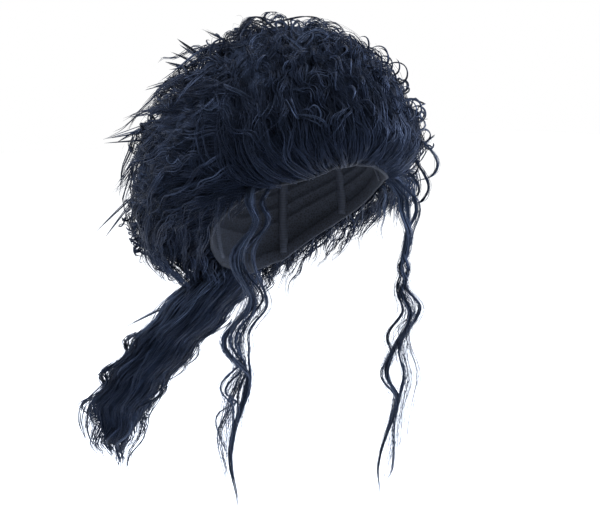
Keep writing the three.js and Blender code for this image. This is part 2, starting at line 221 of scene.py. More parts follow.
tape_corners = [(-1, TAPE["back"]), (1, TAPE["back"]), (1, TAPE["height"]), (-1, TAPE["height"])]
tape_points, tape_quads, tape_ends = [], [], []
for angle in TAPE_ANGLES:
    start = len(tape_points)
    for share in np.linspace(TAPE["low"], TAPE["high"], TAPE["rows"]):
        middle = on_cap(angle, share)
        ahead = on_cap(angle, share - TAPE["step"]) - middle
        out = middle + np.array([0.0, 0.0, CAP_HALF["height"]])
        side = np.cross(ahead, out)
        side = side / np.linalg.norm(side) * TAPE["half_width"]
        for across, height in tape_corners:
            tape_points.append(middle + across * side - out / np.linalg.norm(out) * height)
    tape_quads.append(ring_faces(TAPE["rows"], 4) + start)
    tape_ends.append(np.array([[0, 1, 2, 3]]) + start)
    tape_ends.append(np.array([[3, 2, 1, 0]]) + start + 4 * (TAPE["rows"] - 1))
tapes = mesh_object("cap_tapes", np.array(tape_points), tape_quads + tape_ends, tape_cloth)
dress(tapes, "cap_cloth", "wig_cap")

# Hair at the roots: the dense dark mat that the wefts make under the loose curls, teased up so that the
# curls stand off the cap. It is curled synthetic fibre, laid back from the front edge.
HAIR_TOP = 92.0
OVALS = np.array(
    [
        (HAIR_TOP, 0, 28, 28),
        (82, 42, -22, 78),
        (66, 63, -50, 106),
        (48, 84, -71, 130),
        (30, 100, -85, 151),
        (10, 112, -97, 167),
        (-10, 123, -106, 179),
        (-35, 133, -110, 187),
        (-62, 136, -104, 193),
        (-82, 136, -90, 195),
        (-100, 131, -78, 192),
        (-118, 122, -66, 186),
        (-136, 112, -54, 174),
        (-152, 98, -42, 160),
        (-168, 78, -30, 140),
    ],
    dtype=[("level", float), ("half_width", float), ("front", float), ("back", float)],
)
ROOT_GAP = 0.4
LOWEST_ROOT = 1.1
MAT_TOP = 0.01
MAT_DEPTH = 0.77
MAT_COLUMNS = 200
MAT_ROWS = {"outside": 48, "inside": 10}
MAT_RIDGES = 38
MAT_RIDGE_DEPTH = 0.04
MAT_THINS_FROM = 0.5
MAT_LIP_FROM = 0.85
MAT_EDGE = np.array(
    [
        (0, 0.985, 1.8, 0.0),
        (60, 0.985, 1.8, 0.0),
        (90, 1.0, 2.6, 0.15),
        (115, 1.0, 12, 0.6),
        (180, 1.0, 18, 0.66),
    ],
    dtype=[("angle", float), ("low", float), ("fullness", float), ("lip", float)],
)
STREAK_SIZE = 5.0
ROOT_DARK = "#0d121a"
ROOT_PALE = "#151c28"
FIBRE_SHEEN = "#abc5ff"


def on_hair(angle, share):
    """Place on the outer form of the loose hair, at an angle round it and a share of the way down."""
    low = edge_level(angle, "hair")
    level = low + (HAIR_TOP - low) * np.cos(share * np.pi / 2)
    drop = np.sqrt(np.maximum(HAIR_TOP - level, 0))
    drops = np.sqrt(HAIR_TOP - OVALS["level"])
    front = np.interp(drop, drops, OVALS["front"])
    back = np.interp(drop, drops, OVALS["back"])
    turn = np.radians(angle)
    x = np.interp(drop, drops, OVALS["half_width"]) * np.sin(turn)
    y = (front + back) / 2 - (back - front) / 2 * np.cos(turn)
    return np.stack(np.broadcast_arrays(x, y, level), axis=-1)


def in_hair(angle, share, depth):
    """Place inside the loose hair, at a depth from 0 on the cap to 1 on its outer form."""
    inner = on_cap(angle, np.clip(share, 0, LOWEST_ROOT), CAP_WALL + ROOT_GAP)
    return inner + (on_hair(angle, share) - inner) * np.asarray(depth)[..., None]


# Matted acrylic fibre: nearly black, because light is lost between the strands, with soft streaks of
# about 5 mm.
mat_fibre, tree = new_material("matted_acrylic_fibre")
place = add_node(tree, "ShaderNodeTexCoord").outputs["Object"]
streaks = add_node(
    tree, "ShaderNodeTexNoise", {"Scale": 1000 / STREAK_SIZE, "Detail": 6.0, "Distortion": 1.5}, Vector=place
).outputs["Fac"]
mat_colour = add_node(tree, "ShaderNodeValToRGB", Fac=streaks)
mat_colour.color_ramp.elements[0].color = linear(ROOT_DARK)
mat_colour.color_ramp.elements[0].position = 0.4
mat_colour.color_ramp.elements[1].color = linear(ROOT_PALE)
mat_colour.color_ramp.elements[1].position = 0.75
mat_bump = add_node(tree, "ShaderNodeBump", {"Strength": 0.9, "Distance": 0.002}, Height=streaks)
mat_shader = add_node(
    tree, "ShaderNodeBsdfPrincipled",
    {"Roughness": 0.7, "IOR": 1.5, "Specular IOR Level": 0.25, "Specular Tint": linear(FIBRE_SHEEN)},
    Base_Color=mat_colour.outputs["Color"], Normal=mat_bump.outputs["Normal"],
)
add_node(tree, "ShaderNodeOutputMaterial", Surface=mat_shader.outputs["BSDF"])

mat_angles = np.arange(MAT_COLUMNS) * 360 / MAT_COLUMNS
mat_side = np.abs((mat_angles + 180) % 360 - 180)
mat_low = np.interp(mat_side, MAT_EDGE["angle"], MAT_EDGE["low"])
mat_fullness = np.interp(mat_side, MAT_EDGE["angle"], MAT_EDGE["fullness"])
mat_lip = np.interp(mat_side, MAT_EDGE["angle"], MAT_EDGE["lip"])
mat_rings = []

# The ridges sway on their way down, and a weaker set runs between them.
for part in np.linspace(MAT_TOP, 1, MAT_ROWS["outside"]):
    share = part * mat_low
    sway = np.radians(mat_angles) + 0.12 * np.sin(share * 23) + 0.05 * np.sin(share * 41 + mat_angles / 9)
    ridge = np.sin(MAT_RIDGES * sway) + 0.6 * np.sin(1.7 * MAT_RIDGES * sway + 9 * share)
    thin = 1 - max((part - MAT_THINS_FROM) / (1 - MAT_THINS_FROM), 0) ** mat_fullness
    mat_depth = mat_lip + (MAT_DEPTH + MAT_RIDGE_DEPTH * ridge - mat_lip) * thin
    mat_rings.append(in_hair(mat_angles, share, mat_depth))
for part in np.linspace(1, MAT_TOP, MAT_ROWS["inside"]):
    lip_depth = mat_lip * max((part - MAT_LIP_FROM) / (1 - MAT_LIP_FROM), 0)
    mat_rings.append(in_hair(mat_angles, part * mat_low, lip_depth))
mat_faces = ring_faces(len(mat_rings), MAT_COLUMNS)
outer_top = np.arange(MAT_COLUMNS)[None, :]
inner_top = np.arange(MAT_COLUMNS)[None, ::-1] + (len(mat_rings) - 1) * MAT_COLUMNS
mat = mesh_object("root_hair", np.concatenate(mat_rings), [mat_faces, outer_top, inner_top], mat_fibre)
dress(mat, "hair", "front_hair", "crown_curls", "side_curls_right", "side_curls_left", "back_curls")

# Front hair: long acrylic fibre sewn along the front edge and combed up and back from it, with loose ringlets
# where it ends. Every strand is a fine tube that tapers to its tip, and stands for several real fibres.
HAIR_MIDDLE = np.array([0.0, 35.0, -40.0])
TUBE_SIDES = 3
STRAND_WIDTHS = (0.65, 1.25)
STRAND_ROOT = {"width": 0.4, "run": 0.1}
STRAND_TIP_THINS = 0.8
TONE_SPREAD = {"lock": 0.12, "strand": 0.045}
PALE = {"share": 0.1, "lock": 0.12, "strand": 0.13}
RUN_IN = 0.3
OFF_ROOT = 0.2
HIGHEST_SHARE = 0.02
ANGLE_WANDER = 2.5
FLARE_LIMITS = (0.3, 1.1)
FALL_LIMITS = (0.6, 1.1)
FAN = {"ends": 0.55, "middle": 0.6, "flat": 0.7}
LOOSE = {"swing": 0.18, "phase": 0.35, "stray": 2.2}
FIBRE_DARK = "#0a0e14"
FIBRE_MIDDLE = "#121721"
FIBRE_PALE = "#495467"
FIBRE_ROUGHNESS = 0.42
LUSTRE_SIZE = 20.0
LUSTRE_RANGE = {"From Min": 0.3, "From Max": 0.7}


def unit(vectors):
    """Vectors of length one."""
    return vectors / np.maximum(np.linalg.norm(vectors, axis=-1, keepdims=True), 1e-9)


def trim(path, keep):
    """Paths cut short at a share of their length, with as many points as before."""
    points = path.shape[-2]
    at = np.linspace(0, 1, points) * keep * (points - 1)
    below = np.minimum(at.astype(int), points - 2)
    part = (at - below)[..., None]
    first = np.take_along_axis(path, below[..., None], axis=-2)
    return first + (np.take_along_axis(path, below[..., None] + 1, axis=-2) - first) * part


def fibre(rng, path, thick, tone):
    """Paths with each strand's own radius and tone. A few locks and a few strands are paler."""
    locks, strands, points, _ = path.shape
    t = np.linspace(0, 1, points)
    root = STRAND_ROOT["width"] + (1 - STRAND_ROOT["width"]) * np.minimum(t / STRAND_ROOT["run"], 1)
    taper = (1 - STRAND_TIP_THINS * t**5) * root
    radius = thick * rng.uniform(*STRAND_WIDTHS, (locks, strands, 1)) * taper
    tone = rng.normal(tone, TONE_SPREAD["lock"], (locks, 1, 1))
    tone = tone + rng.normal(0, TONE_SPREAD["strand"], (locks, strands, 1))
    tone = tone + PALE["lock"] * (rng.uniform(0, 1, (locks, 1, 1)) > 1 - PALE["share"])
    tone = tone + PALE["strand"] * (rng.uniform(0, 1, (locks, strands, 1)) > 1 - PALE["share"])
    tone = np.broadcast_to(np.clip(tone, 0, 1), radius.shape)
    return path.reshape(-1, points, 3), radius.reshape(-1, points), tone.reshape(-1, points)


def lay_locks(
    rng, grid, angle, share, turn, rise, depth, wave, swing, strands, points,
    lift=0.6, loose=1.0, spread=5.0, flare=0.0, point=0.55, thick=0.42, keep=0.7, ease=0.5, fall=0.0, hand=1,
    tone=0.39,
):
    """Strands in locks that run through the loose hair from a grid of roots. A lock turns round the cap and
    rises or falls, goes out to its depth and waves; its strands share that wave and gather at the tip. Angle
    and share give the ends of the grid, and the other pairs limits that each lock draws from. Depth starts
    with that of the root, and a hand of -1 puts the locks on the right."""
    columns, rows = grid
    count = columns * rows
    t = np.linspace(0, 1, points)
    run_in = np.minimum(t / RUN_IN, 1)
    row, column = np.divmod(np.arange(count), columns)
    column = (column + rng.uniform(0, 1, count)) / columns
    row = (row + rng.uniform(0, 1, count)) / rows

    def draw(limits):
        return rng.uniform(min(limits), max(limits), count)[:, None]

    run_angle = np.interp(column, [0, 1], angle)[:, None] + draw(turn) * t
    run_angle = hand * (run_angle + rng.normal(0, ANGLE_WANDER, (count, 1)) * np.sin(np.pi * t))
    run_share = np.maximum(np.interp(row, [0, 1], share)[:, None] - draw(rise) * t, HIGHEST_SHARE)
    run_depth = depth[0] + (draw(depth[1:]) - depth[0]) * run_in**ease
    run_depth = run_depth + flare * draw(FLARE_LIMITS) * t**2
    base = in_hair(run_angle, run_share, run_depth)
    base[..., 2] -= fall * draw(FALL_LIMITS) * t**1.5
    along = unit(np.gradient(base, axis=1))
    across = unit(np.cross(along, base - HAIR_MIDDLE))
    out = np.cross(across, along)
    run = np.cumsum(np.linalg.norm(np.diff(base, axis=1, prepend=base[:, :1]), axis=-1), axis=1)
    phase = 2 * np.pi * run / draw(wave) + draw((0, 2 * np.pi))
    size = draw(swing)[:, None] * run_in
    own = (count, strands, 1)
    size = size * (1 + loose * rng.normal(0, LOOSE["swing"], own))
    phase = phase[:, None] + loose * rng.normal(0, LOOSE["phase"], own)
    spin = rng.uniform(0, 2 * np.pi, own)
    fan = spread * np.sqrt(rng.uniform(0, 1, own))
    fan = fan * (FAN["ends"] + FAN["middle"] * np.sin(np.pi * t)) * (1 - point * t**2)
    stray = loose * LOOSE["stray"] * t**2
    side = size * np.sin(phase) + fan * np.cos(spin) + stray * rng.normal(0, 1, own)
    off_root = np.minimum(t / OFF_ROOT, 1)
    high = fan * np.sin(spin) * off_root + stray * rng.normal(0, 1, own)
    high = lift * size * np.cos(phase) + FAN["flat"] * high
    path = base[:, None] + across[:, None] * side[..., None] + out[:, None] * high[..., None]
    return fibre(rng, trim(path, rng.uniform(keep, 1, own)), thick, tone)


def strand_piece(name, groups, material):
    """One mesh of closed tubes along all the strands of some groups."""
    points, quads, ends, tones = [], [], [], []
    start = 0
    askew = np.array([0.31, 0.52, 0.79])
    corner = 2 * np.pi * np.arange(TUBE_SIDES) / TUBE_SIDES
    for path, radius, tone in groups:
        count, steps, _ = path.shape
        along = unit(np.gradient(path, axis=1))
        normal = np.empty_like(path)
        normal[:, 0] = unit(np.cross(along[:, 0], askew))
        for i in range(1, steps):
            flat = normal[:, i - 1] - along[:, i] * np.sum(normal[:, i - 1] * along[:, i], -1, keepdims=True)
            normal[:, i] = unit(flat)
        binormal = np.cross(along, normal)
        ring = normal[:, :, None] * np.cos(corner)[:, None] + binormal[:, :, None] * np.sin(corner)[:, None]
        points.append((path[:, :, None] + ring * radius[:, :, None, None]).reshape(-1, 3))
        tones.append(np.repeat(tone.ravel(), TUBE_SIDES))
        index = start + np.arange(count * steps * TUBE_SIDES).reshape(count, steps, TUBE_SIDES)
        after = np.roll(index, -1, axis=2)
        quad = np.stack([index[:, :-1], after[:, :-1], after[:, 1:], index[:, 1:]], axis=-1)
        quads.append(quad.reshape(-1, 4))
        ends.append(index[:, 0, ::-1])
        ends.append(index[:, -1])
        start += index.size
    faces = [np.concatenate(quads), np.concatenate(ends)]
    return mesh_object(name, np.concatenate(points), faces, material, np.concatenate(tones))


# Curled acrylic fibre: smooth drawn strands, blue-black, that catch the light in thin cool lines along
# their length. Each strand has its own tone, and over about 20 mm the lustre is uneven. Some groups of
# locks are set darker or paler than the rest, as painted shade and painted highlight.
hair_fibre, tree = new_material("curled_acrylic_fibre")
strand_tone = add_node(tree, "ShaderNodeAttribute", {"attribute_name": "tone"})
tone_colour = add_node(tree, "ShaderNodeValToRGB", Fac=strand_tone.outputs["Fac"])
tone_colour.color_ramp.elements[0].color = linear(FIBRE_DARK)
tone_colour.color_ramp.elements[1].color = linear(FIBRE_PALE)
tone_colour.color_ramp.elements.new(0.5).color = linear(FIBRE_MIDDLE)
place = add_node(tree, "ShaderNodeTexCoord").outputs["Object"]
lustre = add_node(tree, "ShaderNodeTexNoise", {"Scale": 1000 / LUSTRE_SIZE, "Detail": 4.0}, Vector=place)
fibre_shade = add_node(
    tree, "ShaderNodeMapRange",
    LUSTRE_RANGE | {"To Min": 0.7, "To Max": 1.3}, Value=lustre.outputs["Fac"],
)
fibre_colour = add_node(
    tree, "ShaderNodeHueSaturation",
    Color=tone_colour.outputs["Color"], Value=fibre_shade.outputs["Result"],
)
fibre_rough = add_node(
    tree, "ShaderNodeMapRange",
    LUSTRE_RANGE | {"To Min": FIBRE_ROUGHNESS - 0.07, "To Max": FIBRE_ROUGHNESS + 0.1},
    Value=lustre.outputs["Fac"],
)
fibre_shader = add_node(
    tree, "ShaderNodeBsdfPrincipled",
    {"IOR": 1.5, "Specular IOR Level": 0.25, "Specular Tint": linear(FIBRE_SHEEN)},
    Base_Color=fibre_colour.outputs["Color"], Roughness=fibre_rough.outputs["Result"],
)
add_node(tree, "ShaderNodeOutputMaterial", Surface=fibre_shader.outputs["BSDF"])

rng = np.random.default_rng(11)
ringlet = {"strands": 6, "points": 34, "lift": 1.0, "loose": 0.08, "spread": 0.9, "thick": 0.5, "keep": 0.9}
flyaway = {"strands": 1, "points": 15, "thick": 0.13}
tuft = {"strands": 6, "points": 10, "loose": 0.5, "spread": 4.0, "point": 0.9, "ease": 1.0, "thick": 0.36,
        "tone": 0.35}
front_groups = [
    # The two rows at the front edge take darker tones than the rest: painted shade along the front edge.
    lay_locks(rng, (28, 2), (-68, 24), (1.012, 0.95), (-18, 2), (0.3, 0.5), (0.02, 0.74, 0.92),
              (40, 60), (1.5, 4), strands=8, points=13, lift=0.4, loose=0.8, ease=0.75, tone=0.26),
    lay_locks(rng, (13, 2), (24, 70), (1.012, 0.95), (-4, 14), (0.3, 0.5), (0.02, 0.74, 0.92),
              (40, 60), (1.5, 4), strands=8, points=13, lift=0.4, loose=0.8, tone=0.3),
    lay_locks(rng, (16, 3), (-66, 66), (0.95, 0.6), (-24, 10), (0.16, 0.4), (0.5, 0.8, 0.95),
              (26, 46), (2, 5), strands=8, points=14, loose=0.9, tone=0.32),
    lay_locks(rng, (8, 3), (-64, 66), (0.86, 0.45), (-24, 10), (0.04, 0.2), (0.4, 0.88, 0.98),
              (40, 80), (1, 3), **tuft),
    lay_locks(rng, (14, 2), (-66, 66), (0.74, 0.42), (-28, 14), (0.06, 0.22), (0.66, 0.84, 0.96),
              (18, 28), (2.5, 4.5), strands=8, points=17, lift=0.8, loose=0.7, tone=0.32),
    lay_locks(rng, (9, 2), (-50, 68), (0.9, 0.4), (-20, -6), (0.05, 0.16), (0.6, 0.93, 1.0),
              (18, 26), (5.5, 7.5), **ringlet),
    lay_locks(rng, (4, 2), (40, 72), (0.4, 0.86), (-18, -4), (-0.08, 0.08), (0.6, 0.98, 1.09),
              (20, 34), (5, 9), **ringlet),
    lay_locks(rng, (4, 2), (44, 74), (0.46, 0.9), (-5, 5), (-0.2, 0.16), (0.6, 0.99, 1.1),
              (13, 22), (3, 5.5), **ringlet),
    lay_locks(rng, (20, 2), (-64, 64), (0.95, 0.5), (-16, 16), (0.1, 0.4), (0.6, 0.98, 1.04),
              (60, 110), (2, 5.5), **flyaway),
]
front = strand_piece("front_hair_strands", front_groups, hair_fibre)
dress(front, "hair", "front_hair")

# Crown curls: shorter fibre sewn in a swirl on top and curled tightly, so that its loops stand up loosely.
# The longest arcs over the top are laid one by one.
CROWN_MIDDLE = np.array([0.0, 28.0])
LOCK_SIDE = np.array([0.809, -0.588, 0.0])
LOCK_FRONT = np.array([-0.588, -0.809, 0.0])
LOOP_DEPTH = 5.0
STRAY_WIDTH = 2.0
LOCK_GATHER = 0.7
WANDER_TURNS = (1, 2.5)
HANG_COLUMNS = [("level", float), ("x", float), ("y", float)]

# Each listed lock goes to the side and to the front as the photograph shows it. An arc has its distance in
# front of the crown's middle, its radius, its count of strands, and the places that it passes, each a level
# and a distance to the side.
CROWN_ARCS = [
    (-13, 2.0, 10, [(76, 4), (80, -6), (83, -16), (85, -27), (79, -35), (68, -44), (64, -52), (67, -63),
                    (74, -72)]),
    (9, 1.2, 8, [(74, -8), (82, -18), (85, -26), (82, -34), (72, -40), (64, -46), (60, -54), (61, -64)]),
    (-8, 3.0, 7, [(76, -22), (80, -12), (82, 1), (85, 14), (85, 26), (79, 36), (71, 44)]),
    (-4, 0.9, 5, [(80, -20), (88, -16), (89, -9), (82, -4)]),
]


def strands_about(rng, hang, level, side, deep, radius, count, thick, loose, keep, tone):
    """Strands about a curve, given by its level and its distances sideways and in front of a hanging line."""
    t = np.linspace(0, 1, len(level))
    line = [np.interp(-level, -hang["level"], hang["x"]), np.interp(-level, -hang["level"], hang["y"]), level]
    own = (1, count, 1)
    spin = rng.uniform(0, 2 * np.pi, own)
    fan = radius * np.sqrt(rng.uniform(0, 1, own)) * (1 - LOCK_GATHER * t**7)
    wander = 2 * np.pi * t * rng.uniform(*WANDER_TURNS, own) + rng.uniform(0, 2 * np.pi, own)
    side = side + fan * np.cos(spin) + loose * np.sin(wander) * t
    deep = deep + fan * np.sin(spin) + loose * rng.normal(0, 1, own) * t
    path = np.column_stack(line) + LOCK_SIDE * side[..., None] + LOCK_FRONT * deep[..., None]
    return fibre(rng, trim(path, rng.uniform(keep, 1, own)), thick, tone)


def open_loop(rng, hang, radius, count, rows, points, thick, loose, keep, tone):
    """Strands of a short lock on a smooth curve through its rows, which may turn back."""
    rows = np.array(rows, float)
    rows = np.concatenate([[2 * rows[0] - rows[1]], rows, [2 * rows[-1] - rows[-2]]])
    part = np.linspace(0, len(rows) - 3, points)
    before = np.minimum(part.astype(int), len(rows) - 4)
    part = (part - before)[:, None]
    first, start, end, last = (rows[before + i] for i in range(4))
    bend = 2 * first - 5 * start + 4 * end - last + part * (3 * (start - end) + last - first)
    curve = start + part / 2 * (end - first + part * bend)
    deep = LOOP_DEPTH * np.sin(np.linspace(0, 2 * np.pi, points))
    return strands_about(rng, hang, curve[:, 0], curve[:, 1], deep, radius, count, thick, loose, keep, tone)


rng = np.random.default_rng(12)
crown_groups = [
    lay_locks(rng, (18, 3), (0, 360), (0.03, 0.32), (-30, 30), (-0.3, -0.12), (0.6, 0.82, 0.94),
              (22, 36), (2.5, 4.5), strands=7, points=16, lift=0.7, loose=0.7, tone=0.43),
    lay_locks(rng, (18, 3), (0, 360), (0.24, 0.56), (-40, 40), (-0.2, 0.2), (0.65, 0.84, 0.96),
              (18, 30), (2.5, 4.5), strands=7, points=16, lift=0.7, loose=0.7, tone=0.43),
    lay_locks(rng, (7, 3), (0, 360), (0.16, 0.5), (-24, 24), (-0.15, 0.0), (0.6, 0.9, 0.97),
              (22, 32), (4.5, 7), ease=1.0, **ringlet),
    lay_locks(rng, (15, 3), (0, 360), (0.14, 0.5), (-40, 40), (-0.3, 0.0), (0.6, 0.96, 1.02),
              (60, 110), (2, 5.5), **flyaway),
]
arc = {"thick": 0.38, "loose": 3.0, "keep": 0.7, "tone": 0.4}
arc_stray = {"count": 8, "thick": 0.2, "loose": 5.0, "keep": 0.6, "tone": 0.4}
for forward, radius, count, rows in CROWN_ARCS:
    x, y = CROWN_MIDDLE + forward * LOCK_FRONT[:2]
    line = np.array([(HAIR_TOP, x, y), (0, x, y)], dtype=HANG_COLUMNS)
    crown_groups += [
        open_loop(rng, line, radius, count, rows, points=4 * len(rows), **arc),
        open_loop(rng, line, radius + STRAY_WIDTH, rows=rows, points=3 * len(rows), **arc_stray),
    ]
crown = strand_piece("crown_strands", crown_groups, hair_fibre)
dress(crown, "hair", "crown_curls")

# Side curls: fibre sewn in rows on each side and swept back from its front corner. It is crimped finely, and
# its ends part into thin points that stand off at the back. Larger ringlets hang in front on the left, and on
# the right some stiff wisps stick out behind, set one by one.
STIFF_DEPTH = 0.86
STIFF_ROOT_SPREAD = 1.4
STIFF_WISPS = np.array(
    [
        (124, 0.62, 44, 11),
        (127, 0.60, 35, 19),
        (129, 0.65, 39, 4),
        (126, 0.82, 38, 36),
        (123, 0.84, 28, 36),
        (126, 0.40, 30, -8),
        (122, 0.38, 27, 5),
        (126, 0.35, 27, -20),
        (122, 0.36, 23, -15),
        (128, 0.38, 25, -13),
        (126, 0.25, 24, -12),
    ],
    dtype=[("angle", float), ("share", float), ("away", float), ("down", float)],
)


def straight_wisp(rng, root, tip, strands=7, points=8, thick=0.45, keep=0.7, tone=0.4):
    """Strands that run straight from places near each root to its tip, and end at different lengths."""
    own = (len(root), strands, 1)
    path = root[:, None, None] + rng.normal(0, STIFF_ROOT_SPREAD, own + (3,))
    path = path + (tip[:, None, None] - path) * np.linspace(0, 1, points)[:, None]
    return fibre(rng, trim(path, rng.uniform(keep, 1, own)), thick, tone)


wisp = {"strands": 8, "points": 11, "loose": 0.45, "spread": 4.0, "flare": 0.3, "point": 0.9, "keep": 0.55}
for side, hand, seed in (("left", 1, 13), ("right", -1, 14)):
    rng = np.random.default_rng(seed)
    side_groups = [
        # The three low rows take dark tones and the main mass a slightly lighter one: painted shade low on
        # each side.
        lay_locks(rng, (13, 2), (58, 136), (1.01, 0.95), (14, 36), (-0.08, 0.03), (0.02, 0.7, 0.92),
                  (26, 44), (1.5, 3.5), strands=8, points=14, loose=0.7, hand=hand, tone=0.26),
        lay_locks(rng, (22, 2), (63, 180), (1.0, 0.95), (0, 14), (-0.03, 0.01), (0.01, 0.12, 0.6),
                  (22, 36), (1, 2.5), strands=7, points=13, loose=0.7, fall=26, hand=hand, tone=0.26),
        lay_locks(rng, (14, 2), (108, 174), (1.0, 0.9), (0, 10), (-0.03, 0.01), (0.3, 0.5, 0.98),
                  (22, 36), (1.5, 3), strands=8, points=13, loose=0.6, spread=6.0, fall=20, hand=hand,
                  tone=0.26),
        lay_locks(rng, (3, 9), (56, 76), (0.98, 0.42), (24, 50), (-0.16, 0.06), (0.1, 0.74, 0.93),
                  (26, 44), (1.5, 3.5), strands=8, points=14, loose=0.7, hand=hand),
        lay_locks(rng, (10, 6), (66, 138), (1.0, 0.42), (14, 36), (-0.18, 0.06), (0.55, 0.8, 0.96),
                  (18, 34), (2, 4), strands=7, points=16, lift=0.7, loose=0.7, hand=hand, tone=0.31),
        lay_locks(rng, (8, 4), (70, 142), (1.0, 0.4), (-6, 26), (-0.16, 0.04), (0.4, 0.88, 1.0),
                  (40, 80), (1, 3), hand=hand, **tuft),
        lay_locks(rng, (8, 2), (70, 142), (1.03, 0.45), (6, 22), (-0.16, 0.06), (0.7, 0.86, 0.98),
                  (12, 18), (1.8, 3), strands=7, points=19, lift=0.9, loose=0.4, spread=3.0, hand=hand),
        lay_locks(rng, (8, 5), (84, 144), (0.92, 0.22), (-6, 18), (-0.32, -0.06), (0.6, 0.84, 0.98),
                  (40, 80), (1, 5), hand=hand, **wisp),
        lay_locks(rng, (8, 5), (70, 140), (1.0, 0.45), (10, 30), (-0.16, 0.12), (0.6, 0.98, 1.05),
                  (60, 110), (2, 5.5), hand=hand, **flyaway),
    ]
    if side == "left":
        side_groups += [
            lay_locks(rng, (10, 2), (54, 78), (1.0, 0.93), (0, 8), (-0.04, 0.0), (0.05, 0.3, 0.95),
                      (26, 40), (1, 2.5), strands=7, points=13, loose=0.6, fall=38, tone=0.6),
            lay_locks(rng, (2, 3), (62, 84), (0.86, 0.5), (-24, -12), (-0.12, 0.0), (0.5, 0.94, 1.02),
                      (30, 44), (6, 8), **ringlet),
        ]
    else:
        stiff_depth = np.full(len(STIFF_WISPS), STIFF_DEPTH)
        stiff_root = in_hair(hand * STIFF_WISPS["angle"], STIFF_WISPS["share"], stiff_depth)
        stiff_tip = stiff_root + STIFF_WISPS["away"][:, None] * -LOCK_SIDE
        stiff_tip[:, 2] -= STIFF_WISPS["down"]
        side_groups += [
            straight_wisp(rng, stiff_root, stiff_tip),
            lay_locks(rng, (6, 2), (112, 140), (0.9, 0.98), (-4, 4), (-0.08, -0.04), (0.6, 1.0, 1.1),
                      (13, 18), (3, 4.5), hand=hand, **ringlet),
        ]
    curls = strand_piece(f"side_{side}_strands", side_groups, hair_fibre)
    dress(curls, "hair", f"side_curls_{side}")

# Back curls: fibre sewn in rows down the back of the cap. It falls in loose waves over the rows below, and
# its ends turn out in ringlets and thin points.
rng = np.random.default_rng(15)
back_groups = [
    lay_locks(rng, (13, 4), (134, 226), (0.42, 0.84), (-14, 14), (-0.34, -0.16), (0.6, 0.82, 0.96),
              (22, 38), (2.5, 4.5), strands=7, points=16, loose=0.7),
    lay_locks(rng, (14, 3), (134, 226), (0.7, 1.0), (-16, 16), (-0.2, -0.06), (0.3, 0.78, 0.96),
              (18, 32), (2.5, 4.5), strands=8, points=16, lift=0.7, loose=0.7),
    lay_locks(rng, (6, 3), (134, 226), (0.56, 0.94), (-10, 10), (-0.14, -0.04), (0.5, 0.93, 1.0),
              (18, 24), (4.5, 6.5), **ringlet),
    lay_locks(rng, (7, 4), (136, 224), (0.3, 0.9), (-8, 8), (-0.26, -0.08), (0.6, 0.84, 0.96),
              (50, 80), (1, 4), **wisp),
    lay_locks(rng, (8, 5), (136, 224), (0.45, 1.0), (-16, 16), (-0.3, -0.06), (0.6, 0.98, 1.04),
              (60, 110), (2, 5.5), **flyaway),
]
back = strand_piece("back_strands", back_groups, hair_fibre)
dress(back, "hair", "back_curls")

# Ponytail: a long hank sewn at the middle of the back edge, which falls towards the wearer's right. The same
# fibre is crimped all along it and thins out at the ends. A dark core stands for the fibre inside it.
TAIL = np.array(
    [
        (-136, 0, 98, 20, 9),
        (-154, -4, 106, 36, 18),
        (-180, -20, 118, 40, 24),
        (-235, -58, 153, 38, 26),
        (-286, -85, 179, 34, 24),
        (-328, -91, 186, 25, 18),
        (-354, -91, 187, 11, 8),
        (-372, -91, 187, 8, 6),
    ],
    dtype=[("level", float), ("x", float), ("y", float), ("wide", float), ("thick", float)],
)
TAIL_END = (4, 50)
TAIL_CRIMP = 36.0
TAIL_LOOSE = {"turn": 0.25, "phase": 0.5}
TAIL_WAVE = {"lag": 1.5, "flat": 0.6}
TAIL_GATHER = 0.6
CORE_SHARE = 0.76
CORE_RIDGE = 0.05
CORE_TOP = -138.0
CORE_NARROWS = -288.0
CORE_END = -332.0
CORE_COLUMNS = 64
CORE_ROWS = 64
TAIL_WISP = {"level": -184.0, "angle": 152, "out": 0.8, "reach": (-50.0, 33.0, -30.0)}


def in_tail(level, around, out):
    """Place in the ponytail at a level, a turn round it and a share of the way from its middle."""
    column = {key: np.interp(-level, -TAIL["level"], TAIL[key]) for key in ("x", "y", "wide", "thick")}
    x = column["x"] + column["wide"] * out * np.cos(around)
    y = column["y"] + column["thick"] * out * np.sin(around)
    return np.stack(np.broadcast_arrays(x, y, level), axis=-1)


